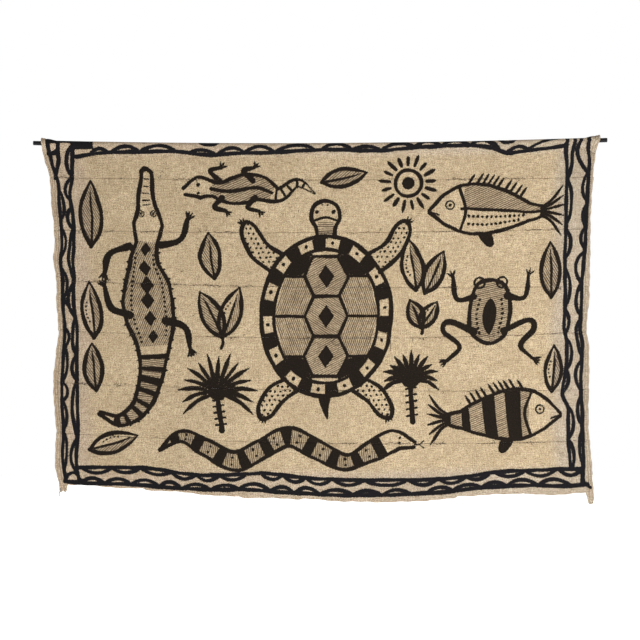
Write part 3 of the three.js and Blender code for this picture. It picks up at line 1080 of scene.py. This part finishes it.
def rod_look():
    """Satin black paint on a steel bar, rubbed a little at the ends."""
    look = new_look("black_paint")
    n = Nodes(look)
    place = n.add("TexCoord").outputs["Object"]
    peel = n.noise(n.stretch(place, 700, 900, 900), 2.0)
    dust = n.noise(n.stretch(place, 60, 300, 300), 3.0, 0.6)
    from_middle = n.math("ABSOLUTE", n.add("SeparateXYZ", Vector=place).outputs[0])
    chips = n.noise(n.stretch(place, 420, 420, 420), 2.0)
    end = ROD_LENGTH / 2 * MM
    rubbed = n.math("MULTIPLY", n.ramp(from_middle, end - RUBBED_END * MM, end), n.ramp(chips, 0.50, 0.60))
    colour = n.mix(n.ramp(dust, 0.45, 0.75, 0, 0.6), BLACK, DUSTY_BLACK)
    colour = n.mix(rubbed, colour, BARE_STEEL)
    rough = n.ramp(dust, 0.3, 0.7, 0.34, 0.50)
    n.finish(colour, rough, (0.18, 0.0003, peel), Specular_IOR_Level=0.20)
    return look


painted_front = cloth_look("painted_cotton", 1)
painted_back = cloth_look("painted_cotton_back", 0.55)
seam_thread = thread_look("seam_thread", (0.50, 0.39, 0.25, 1), (0.22, 0.16, 0.10, 1))
grey_thread = thread_look("grey_thread", (0.30, 0.29, 0.26, 1), (0.14, 0.13, 0.11, 1))
black_paint = rod_look()

# Strips
STRIP_COUNT = len(SEAMS) + 1
STRIP_WIDTH = 120
STRIP_ROWS = 48
FLAP_ROWS, ARC_ROWS, GATHER_ROWS, TOP_ROWS = 9, 20, 12, 24
HEM_STEPS = [0, 0.6, 1.4, 2.2, 3.1, 4, 4.9, 5.7, 6.6, 7.6, 8.6, HEM_WIDTH, 10.3, 11.1, 11.8,
             HEM_WIDTH + HEM_SLOPE]
FULL_THICKNESS = THICKNESS + HEM_THICKNESS


def cloth_columns():
    hem = np.array(HEM_STEPS) / CLOTH_WIDTH
    plain = np.linspace(hem[-1], 1 - hem[-1], int(CLOTH_WIDTH / GRID) + 1)
    return np.concatenate([hem, plain[1:-1], (1 - hem)[::-1]])


def strip_ends(strip, u):
    """Ways down the cloth to a strip's upper and lower edge."""
    axis = rod_height(top_x(u))
    head = np.full_like(u, FLAP_END)
    if strip:
        head = seam_drop(SEAMS[strip - 1], u) + SEAM_GAP / 2 + axis
    if strip == STRIP_COUNT - 1:
        hangs = [along(rows, 1, side_distance(u)) for rows in (HEM_END_LEFT, HEM_END_RIGHT)]
        end = np.where(u < 0.5, *hangs)
        x = top_x(u)
        frayed = 0.7 * np.sin(x / 17) + 0.5 * np.sin(x / 6.1 + 1) + 0.6 * np.sin(x / 43)
        for at, step in ((-438, 1.7), (-206, 1.1), (-60, -0.9), (312, -1.9), (476, 0.9)):
            frayed += step * np.tanh((x - at) / 2.5) * bell(x - at, 28)
        return head, along(LOWER_EDGE, 1, x) + end + frayed + axis
    return head, seam_drop(SEAMS[strip], u) - SEAM_GAP / 2 + axis


def strip_ways(strip, u):
    """Ways down the cloth, one row of places after another."""
    head, foot = strip_ends(strip, u)
    if strip:
        return lerp(head, foot, np.linspace(0, 1, STRIP_ROWS + 1)[:, None])
    fixed = np.concatenate([
        np.linspace(FLAP_END, -OVER_ROD, FLAP_ROWS + 1)[:-1],
        np.linspace(-OVER_ROD, 0, ARC_ROWS + 1)[:-1],
        np.linspace(0, GATHER_LENGTH, GATHER_ROWS + 1)[:-1],
    ])
    front = lerp(GATHER_LENGTH, foot, np.linspace(0, 1, TOP_ROWS + 1)[:, None])
    return np.concatenate([np.repeat(fixed[:, None], len(u), 1), front])


def write_paint(mesh, a, b, strip):
    ink, inside_hatch, phase = paint(a, b)
    for k in range(4):
        write_attribute(mesh, f"ink_{k + 1}", ink[k])
    write_attribute(mesh, "hatch", inside_hatch)
    write_attribute(mesh, "phase", phase)
    write_attribute(mesh, "flat", np.stack([a, b, np.zeros_like(a) + strip], 1), "FLOAT_VECTOR")


def write_attribute(mesh, name, values, kind="FLOAT"):
    attribute = mesh.attributes.new(name, kind, "POINT")
    attribute.data.foreach_set("vector" if kind == "FLOAT_VECTOR" else "value", values.ravel())


def weave_strip(strip):
    """One woven strip: a grid laid along the cloth, with its paint, given its thickness."""
    u_row = cloth_columns()
    ways = strip_ways(strip, u_row)
    across, down = len(u_row) - 1, len(ways) - 1
    deselect()
    bpy.ops.mesh.primitive_grid_add(x_subdivisions=across, y_subdivisions=down, size=2)
    piece = bpy.context.object
    piece.name = piece.data.name = f"woven_strip_{strip + 1}"
    mesh = piece.data
    flat = read(mesh.vertices, "co", 3)
    column = np.rint((flat[:, 0] + 1) / 2 * across).astype(int)
    row = np.rint((1 - flat[:, 1]) / 2 * down).astype(int)
    u, v = u_row[column], ways[row, column]
    fraction = row / down
    place, back = front_layer(u, v, strip, fraction)
    place += back * edge_relief(u, fraction, strip)[:, None]
    rough_edge = 1 - ease(side_distance(u) / 7)
    wave = 0.5 * np.sin(v / 9.3 + strip) + 0.45 * np.sin(v / 4.1 + 2 * strip)
    place[:, 0] += np.sign(0.5 - u) * rough_edge * (wave + 0.6)
    mesh.vertices.foreach_set("co", (place * MM).ravel())
    write_paint(mesh, (u - 0.5) * PAINT_WIDTH, v, strip)
    group = piece.vertex_groups.new(name="hem")
    thick = (THICKNESS + hem_at(u)) / FULL_THICKNESS
    for level in np.unique(np.round(thick, 3)):
        group.add(np.nonzero(np.round(thick, 3) == level)[0].tolist(), float(level), "REPLACE")
    give_look(piece, painted_front, painted_back)
    solidify = piece.modifiers.new("thickness", "SOLIDIFY")
    solidify.thickness = FULL_THICKNESS * MM
    solidify.offset = -1
    solidify.vertex_group = "hem"
    solidify.material_offset = 1
    bpy.ops.object.modifier_apply(modifier="thickness")
    bpy.ops.object.shade_smooth()
    lay_out(mesh)
    return piece


def edge_relief(u, fraction, strip):
    """How far the face sinks back at the seams and the hem's crease, and rises along the side edge."""
    above, below = fraction * STRIP_WIDTH, (1 - fraction) * STRIP_WIDTH
    to_seam = np.minimum(above, below)
    if strip == 0:
        to_seam = below
    if strip == STRIP_COUNT - 1:
        to_seam = above
    x = top_x(u)
    pull = 0.16 + 0.22 * np.sin(x / 47 + 2 * strip) + 0.14 * np.sin(x / 11.7 + strip)
    seam = np.maximum(pull, 0.05) * bell(to_seam, 2.2)
    side = side_distance(u)
    down = above + 31 * strip
    firm = 1 + 0.3 * np.sin(down / 13) + 0.25 * np.sin(down / 5.3)
    crease = 0.9 * bell(side - HEM_WIDTH - 1, 1.5) + 0.55 * bell(side - ROLL_WIDTH - 0.6, 1.1)
    return seam + firm * (crease - 0.75 * bell(side - ROLL_WIDTH / 2, 2.0))


def lay_out(mesh):
    """A map of both sides: the front in three rows, then the back in three."""
    rows_each = 3
    corners = read(mesh.loops, "vertex_index", kind=int)
    flat = read(mesh.attributes["flat"].data, "vector", 3, np.float32)[:, :2]
    starts, totals, looks = (
        read(mesh.polygons, name, kind=int) for name in ("loop_start", "loop_total", "material_index"))
    face_of = np.repeat(np.arange(len(starts)), totals)
    low, high = flat.min(0), flat.max(0)
    share = (flat - low) / (high - low)
    middle = np.add.reduceat(share[corners][:, 0], starts) / totals
    row = np.clip((middle * rows_each).astype(int), 0, rows_each - 1)
    count = 2 * rows_each
    margin = 0.012
    s = share[corners][:, 0] * rows_each - row[face_of]
    t = share[corners][:, 1]
    level = row[face_of] + looks[face_of] * rows_each
    s = margin + (1 - 2 * margin) * s
    t = (level + margin * 4 + (1 - 8 * margin) * t) / count
    layer = mesh.uv_layers.active or mesh.uv_layers.new(name="UVMap")
    layer.data.foreach_set("uv", np.stack([s, t], 1).astype(np.float32).ravel())


strips = [weave_strip(k) for k in range(STRIP_COUNT)]

# Sewing
SEWING_LAYER = 9  # gives the stitches another slub than the strips have
SEAM_THREAD, LOOSE_THREAD, HEM_END_THREAD, FLAP_THREAD = 0.36, 0.58, 0.75, 0.4
DARK_ROWS, TUFTS, STRAY_ENDS = 13, 9, 46


def sewn(name, lines, radius, look, inked=False):
    """Short lengths of thread as one piece: a curve with many splines, turned into a mesh."""
    deselect()
    bpy.ops.curve.primitive_nurbs_path_add()
    piece = bpy.context.object
    piece.name = piece.data.name = name
    curve = piece.data
    curve.splines.clear()
    for line in lines:
        spline = curve.splines.new("POLY")
        spline.points.add(len(line) - 1)
        spline.points.foreach_set("co", np.c_[np.asarray(line) * MM, np.ones(len(line))].ravel())
        thin = np.ones(len(line))
        thin[[0, -1]] = 0.6
        spline.points.foreach_set("radius", thin)
    curve.dimensions = "3D"
    curve.bevel_depth = radius * MM
    curve.bevel_resolution = 1
    curve.use_fill_caps = True
    bpy.ops.object.convert(target="MESH")
    piece = bpy.context.object
    bpy.ops.object.mode_set(mode="EDIT")
    bpy.ops.mesh.select_all(action="SELECT")
    bpy.ops.mesh.remove_doubles(threshold=1e-6)
    bpy.ops.mesh.normals_make_consistent(inside=False)
    bpy.ops.object.mode_set(mode="OBJECT")
    bpy.ops.object.shade_smooth()
    if inked:
        x, _, z = read(piece.data.vertices, "co", 3).T / MM
        write_paint(piece.data, *painted(x, -z).T, SEWING_LAYER)
    give_look(piece, look)
    return piece


def on_cloth(a, b, lift, behind=False):
    """Places lift millimetres off the painted face, or off the back."""
    u = u_of(np.asarray(a, float))
    b, lift = np.broadcast_to(b, u.shape), np.broadcast_to(lift, u.shape)
    found = np.empty((len(u), 3))
    for strip in range(STRIP_COUNT):
        head, foot = strip_ends(strip, u)
        here = (b >= head - SEAM_GAP) & (b <= foot + SEAM_GAP)
        if here.any():
            fraction = np.clip((b - head) / (foot - head), 0, 1)[here]
            place, back = front_layer(u[here], b[here], strip, fraction)
            out = (THICKNESS + hem_at(u[here]) + lift[here]) if behind else -lift[here]
            found[here] = place + back * out[:, None]
    return found


def laid(runs, behind=False):
    """Many short runs of places, each given as a, b and lift, laid on the cloth at once."""
    whole = [np.concatenate([np.broadcast_to(run[k], np.shape(run[0])) for run in runs]) for k in range(3)]
    return np.split(on_cloth(*whole, behind), np.cumsum([len(run[0]) for run in runs])[:-1])


def seam_way(seam, a):
    u = u_of(a)
    return seam_drop(SEAMS[seam], u) + rod_height(top_x(u))


def seam_stitches(seam):
    """Whip stitches that hold two strips together, drawn flat into the cloth."""
    rng = np.random.default_rng(100 + seam)
    runs = []
    a = -EDGE + 12
    while a < EDGE - 12:
        reach, slant = rng.uniform(1.5, 2.5), rng.uniform(0.4, 1.4)
        t = np.linspace(-1, 1, 5)
        runs.append((a + slant * t, seam_way(seam, a) + reach * t, 0.30 * (1 - t ** 4) - 0.40 * t ** 4))
        a += rng.uniform(5.5, 9.5)
    return sewn(f"seam_stitches_{seam + 1}", laid(runs), SEAM_THREAD, painted_front, inked=True)


def wisp(rng, a, b, length):
    """A loose end of thread that curls off the face."""
    t = np.linspace(0, 1, 6)
    heading = rng.uniform(0, 2 * math.pi) + rng.uniform(-1.8, 1.8) * t
    a_line = a + length * np.cumsum(np.cos(heading)) / 6
    b_line = b + length * np.cumsum(np.sin(heading)) / 6
    return a_line, b_line, 0.15 + rng.uniform(0.4, 1.6) * np.sin(math.pi * t * 0.7)


def loose_ends():
    """Dark sewing thread that shows in short rows along the seams, its ends, and some on the plain cloth."""
    rng = np.random.default_rng(7)
    runs = []
    for seam in range(len(SEAMS)):
        for a in rng.uniform(-EDGE + 20, EDGE - 60, DARK_ROWS):
            for _ in range(rng.integers(2, 8)):
                t = np.linspace(0, 1, 4)
                row = a + rng.uniform(3, 6.5) * t
                rise = rng.uniform(-1.6, 1.6) + rng.uniform(-2.4, 2.4) * t
                runs.append((row, seam_way(seam, row) + rise, 0.1 + 0.5 * np.sin(math.pi * t)))
                a = row[-1] + rng.uniform(0, 3.5)
        for a in rng.uniform(-EDGE + 20, EDGE - 20, TUFTS):
            for _ in range(rng.integers(1, 4)):
                near = a + rng.uniform(-9, 9)
                start = seam_way(seam, near) + rng.uniform(-1.5, 1.5)
                runs.append(wisp(rng, near, start, rng.uniform(4, 10)))
    for _ in range(STRAY_ENDS):
        runs.append(wisp(rng, rng.uniform(-540, 540), rng.uniform(50, 730), rng.uniform(3, 7)))
    a, b = smooth([(114, 438), (126, 431), (142, 430), (154, 437), (158, 452), (158, 474)]).T
    runs.append((a, b, 0.2 + 1.4 * np.sin(math.pi * np.linspace(0, 1, len(a)))))
    a, b = smooth([(18, 446), (24, 455), (34, 459), (41, 454)]).T
    runs.append((a, b, 0.5))
    return sewn("loose_thread_ends", laid(runs), LOOSE_THREAD, dark_thread)


def hem_thread_end():
    """The greyish end of the left hem's sewing thread, hanging below it."""
    foot = foot_way(np.array([2.6 - EDGE])) + 8
    start = on_cloth([2.6 - EDGE], foot, 0.3)[0]
    lines = []
    for side in (0, 0.9):
        fall = smooth([(side, 0), (-0.6 + side, -6), (-2.2, -12 - side), (-1.8, -20 + 3 * side)], step=2)
        lines.append(start + np.stack([fall[:, 0], 0.04 * fall[:, 1], fall[:, 1]], 1))
    return sewn("hem_thread_end", lines, HEM_END_THREAD, grey_thread)


def hem_stitches():
    """Running stitches beside the folded side hems, seen on the face and on the back."""
    rng = np.random.default_rng(8)
    t = np.linspace(0, 1, 5)
    lift = 0.34 * np.sin(math.pi * t)
    face, back = [], []
    for side in (-1, 1):
        b = 16.0
        foot = float(foot_way(np.array([side * (EDGE - 11)]))[0]) - 8
        while b < foot:
            a = side * (EDGE - 10.8 + rng.uniform(-0.5, 0.5))
            face.append((a + t * side * 0.6, b + 4.2 * t, lift - 0.65))
            back.append((a + t * side * 3.0, b + 5.5 + 2.4 * t, lift - 0.1))
            b += rng.uniform(8, 12)
    return [sewn("hem_stitches", laid(face), SEAM_THREAD, painted_front, inked=True),
            sewn("hem_stitches_behind", laid(back, behind=True), SEAM_THREAD, seam_thread)]


def flap_stitches():
    """Slanting stitches that hold the turned-down top edge to the back of the cloth."""
    rng = np.random.default_rng(9)
    places = np.arange(-EDGE + 16, EDGE - 16, 11.0)
    places += rng.uniform(-1.5, 1.5, len(places))
    upper = laid([(np.array([a, a + 0.5]), FLAP_END + np.array([4, 1.2]), 0.25) for a in places])
    level = np.array([FLAP_LENGTH + 1.2, FLAP_LENGTH + 4])
    lower = laid([(np.array([a + 1.6, a + 2.6]), level, np.array([0.5, -0.3])) for a in places], behind=True)
    whole = [np.concatenate(ends) for ends in zip(upper, lower)]
    return sewn("flap_stitches", whole, FLAP_THREAD, seam_thread)


dark_thread = thread_look("dark_thread", (0.060, 0.040, 0.026, 1), (0.020, 0.014, 0.010, 1))
stitches = [seam_stitches(k) for k in range(len(SEAMS))]
stitches += [loose_ends(), hem_thread_end(), *hem_stitches(), flap_stitches()]


# Rod
def make_rod():
    deselect()
    bpy.ops.mesh.primitive_cylinder_add(
        vertices=ROD_SIDES, radius=ROD_RADIUS * MM, depth=ROD_LENGTH * MM,
        rotation=(0, math.pi / 2, 0),
    )
    rod = bpy.context.object
    rod.name = rod.data.name = "hanging_rod"
    bpy.ops.object.transform_apply(location=True, rotation=True, scale=True)
    bpy.ops.object.mode_set(mode="EDIT")
    for k in range(1, ROD_CUTS):
        bpy.ops.mesh.select_all(action="SELECT")
        at = (k / ROD_CUTS - 0.5) * ROD_LENGTH * MM
        bpy.ops.mesh.bisect(plane_co=(at, 0, 0), plane_no=(1, 0, 0))
    bpy.ops.object.mode_set(mode="OBJECT")
    end = ROD_LENGTH / 2 * MM
    for edge in rod.data.edges:
        xs = [abs(rod.data.vertices[i].co.x) for i in edge.vertices]
        edge.select = min(xs) > end - 1e-5
    for face in rod.data.polygons:
        face.select = abs(face.normal.x) > 0.9
    bpy.ops.object.mode_set(mode="EDIT")
    bpy.ops.mesh.select_mode(type="EDGE")
    bpy.ops.mesh.bevel(offset=ROD_END_ROUND * MM, segments=3)
    bpy.ops.object.mode_set(mode="OBJECT")
    for vertex in rod.data.vertices:
        vertex.co.z += rod_height(vertex.co.x / MM) * MM
    bpy.ops.object.shade_smooth_by_angle(angle=math.radians(40))
    give_look(rod, black_paint)
    return rod


rod = make_rod()

# What each piece rides on and stands for
for k, piece in enumerate(strips):
    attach(piece, "root")
    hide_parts(f"strip_{k + 1}")
    head, foot = strip_ends(k, np.array([0.5]))
for piece in stitches:
    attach(piece, "root")
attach(rod, "root")
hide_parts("rod")

# White floor
FLOOR_Z = -1.30
WHITE = (1, 1, 1, 1)
deselect()
bpy.ops.mesh.primitive_plane_add(size=12, location=(0, 0, FLOOR_Z))
floor = bpy.context.object
floor.name = "floor"
white = new_look("white_floor")
n = Nodes(white)
diffuse = n.add("BsdfDiffuse", Color=(0.9, 0.9, 0.9, 1))
glow = n.add("Emission", Color=WHITE, Strength=1.0)
both = n.add("AddShader")
n.put(both.inputs[0], diffuse.outputs[0])
n.put(both.inputs[1], glow.outputs[0])
n.add("OutputMaterial", Surface=both.outputs[0])
give_look(floor, white)

# Light
world = bpy.data.worlds.new("studio")
bpy.context.scene.world = world
world.use_nodes = True
world.node_tree.nodes.clear()
n = Nodes(world)
seen = n.add("Background", Color=WHITE, Strength=1.0)
around = n.add("Background", Color=WHITE, Strength=0.44)
choose = n.add("MixShader", Fac=n.add("LightPath").outputs["Is Camera Ray"])
n.put(choose.inputs[1], around.outputs[0])
n.put(choose.inputs[2], seen.outputs[0])
n.add("OutputWorld", Surface=choose.outputs[0])


def into_scene(name, data):
    made = bpy.data.objects.new(name, data)
    bpy.context.collection.objects.link(made)
    return made


def soft_light(name, place, aim, size, power):
    data = bpy.data.lights.new(name, "AREA")
    data.shape = "SQUARE"
    data.size = size
    data.energy = power
    lamp = into_scene(name, data)
    lamp.location = place
    way = np.array(aim, float) - np.array(place, float)
    away = math.hypot(way[0], way[1])
    lamp.rotation_euler = (math.atan2(away, -way[2]), 0, math.atan2(-way[0], way[1]))


soft_light("key_light", (1.9, -1.8, 0.0), (0.3, 0, -0.4), 1.0, 18.2)
soft_light("near_light", (0.42, -1.1, -0.6), (0.42, 0, -0.5), 0.8, 5.4)
soft_light("fill_light", (-2.2, -2.6, 0.3), (-0.2, 0, -0.3), 1.8, 9)
soft_light("back_light", (0.4, 2.4, 0.6), (0, 0, -0.4), 1.6, 18)

# Camera, square on to the cloth and turned by the photo's small tilt
PHOTO_WIDTH_M = 1.472
CAMERA_DISTANCE = 4.0
PHOTO_CENTRE = (-0.0026, -0.4004)
PHOTO_TILT = 0.30
SENSOR_WIDTH = 36
camera = into_scene("camera", bpy.data.cameras.new("camera"))
camera.data.sensor_width = SENSOR_WIDTH
camera.data.lens = SENSOR_WIDTH * CAMERA_DISTANCE / PHOTO_WIDTH_M
camera.location = (PHOTO_CENTRE[0], -CAMERA_DISTANCE, PHOTO_CENTRE[1])
camera.rotation_euler = (math.pi / 2, math.radians(PHOTO_TILT), 0)
bpy.context.scene.camera = camera
bpy.context.scene.view_settings.view_transform = "Standard"
